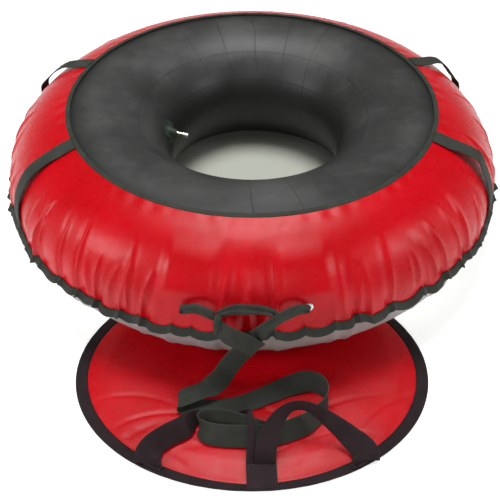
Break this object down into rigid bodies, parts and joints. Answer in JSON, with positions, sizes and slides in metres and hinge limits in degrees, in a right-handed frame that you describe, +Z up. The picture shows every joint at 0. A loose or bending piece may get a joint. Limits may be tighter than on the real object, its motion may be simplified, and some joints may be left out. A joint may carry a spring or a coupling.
{
  "type": "snow tube",
  "caption": "Round inflatable snow tube in a gathered fabric cover with a seat well, webbing handles, a tow strap, an air valve and an oval soft pad with loops.",
  "frame": {"origin": "centre of the ring on the surface that it stands on, at the middle of the lower cover's flat underside", "axes": "+Z up, -Y to the front, where the tow strap and the pad lie, +X to the right seen from the front"},
  "size_m": [1.0234, 1.2291, 0.2795],
  "materials": {
    "tube_rubber": "matte black, faint mould lines",
    "red_cover": "coated, slightly shiny",
    "grey_cover": "coated, dull",
    "dark_webbing": "woven, matt",
    "pad_webbing": "woven, matt",
    "nickel": "bright",
    "valve_metal": "nickelled",
    "foam": "soft closed-cell foam"
  },
  "bodies": {
    "ring": {"inner_tube": "tube_rubber", "cover_top": "red_cover", "cover_bottom": "grey_cover", "opening_binding": "dark_webbing", "seam_binding": "dark_webbing", "handle_right_front_upper_end": "dark_webbing", "handle_right_front_lower_end": "dark_webbing", "handle_right_back_upper_end": "dark_webbing", "handle_right_back_lower_end": "dark_webbing", "handle_left_back_upper_end": "dark_webbing", "handle_left_back_lower_end": "dark_webbing", "handle_left_front_upper_end": "dark_webbing", "handle_left_front_lower_end": "dark_webbing", "grommet_left": "nickel", "grommet_left_washer": "nickel", "grommet_right": "nickel", "grommet_right_washer": "nickel", "bridle_left": "dark_webbing", "bridle_top": "dark_webbing", "bridle_right": "dark_webbing", "bridle_tail": "dark_webbing", "strap_knot": "dark_webbing", "tow_strap_drop": "dark_webbing", "valve_base": "tube_rubber", "valve_stem": "valve_metal", "valve_core": "valve_metal"},
    "right_front_handle": {"handle_right_front": "dark_webbing"},
    "right_back_handle": {"handle_right_back": "dark_webbing"},
    "left_back_handle": {"handle_left_back": "dark_webbing"},
    "left_front_handle": {"handle_left_front": "dark_webbing"},
    "seat_pad": {"pad_bottom_cover": "grey_cover", "pad_foam": "foam", "pad_top_cover": "red_cover", "pad_binding": "pad_webbing", "pad_handle_sewn_left": "pad_webbing", "pad_handle_sewn_centre": "pad_webbing", "pad_handle_sewn_right": "pad_webbing", "tow_strap_lying": "dark_webbing"},
    "left_loop": {"pad_handle_left": "pad_webbing"},
    "right_loop": {"pad_handle_right": "pad_webbing"},
    "cap_seal": {"valve_cap_seal": "tube_rubber"},
    "cap": {"valve_cap": "nickel"},
    "pin": {"valve_pin": "nickel"}
  },
  "joints": [
    {"name": "handle_right_front_swing", "type": "hinge", "parent": "ring", "child": "right_front_handle", "pos_m": [0.41706, -0.16428, 0.21684], "axis": [0.6064, -0.2389, -0.7584], "range_deg": [-10, 10], "stiffness_Nm_per_rad": 0.05},
    {"name": "handle_right_back_swing", "type": "hinge", "parent": "ring", "child": "right_back_handle", "pos_m": [0.41323, 0.1737, 0.21684], "axis": [0.6008, 0.2526, -0.7584], "range_deg": [-10, 10], "stiffness_Nm_per_rad": 0.05},
    {"name": "handle_left_back_swing", "type": "hinge", "parent": "ring", "child": "left_back_handle", "pos_m": [-0.41706, 0.16428, 0.21684], "axis": [-0.6064, 0.2389, -0.7584], "range_deg": [-10, 10], "stiffness_Nm_per_rad": 0.05},
    {"name": "handle_left_front_swing", "type": "hinge", "parent": "ring", "child": "left_front_handle", "pos_m": [-0.40492, -0.19227, 0.21684], "axis": [-0.5888, -0.2796, -0.7584], "range_deg": [-10, 10], "stiffness_Nm_per_rad": 0.05},
    {"name": "pad_slide", "type": "slide", "parent": "ring", "child": "seat_pad", "axis": [0, -1, 0], "range_m": [0, 0.15]},
    {"name": "left_loop_flop", "type": "hinge", "parent": "seat_pad", "child": "left_loop", "pos_m": [-0.1, -0.672, 0.00937], "axis": [1, 0, 0], "range_deg": [0, 5]},
    {"name": "right_loop_flop", "type": "hinge", "parent": "seat_pad", "child": "right_loop", "pos_m": [0.1, -0.672, 0.00937], "axis": [1, 0, 0], "range_deg": [0, 80]},
    {"name": "cap_lift", "type": "slide", "parent": "ring", "child": "cap_seal", "axis": [0.9709, -0.1192, -0.2079], "range_m": [0, 0.00318]},
    {"name": "cap_turn", "type": "hinge", "parent": "cap_seal", "child": "cap", "pos_m": [-0.14256, 0.0175, 0.17828], "axis": [0.9709, -0.1192, -0.2079], "range_deg": [0, 1440]},
    {"name": "pin_push", "type": "slide", "parent": "ring", "child": "pin", "axis": [-0.9709, 0.1192, 0.2079], "range_m": [0, 0.001], "stiffness_N_per_m": 800, "springref_m": -0.001}
  ],
  "couplings": [
    {"joint": "cap_turn", "follows": "cap_lift", "rad_per_m": 7913.3}
  ]
}
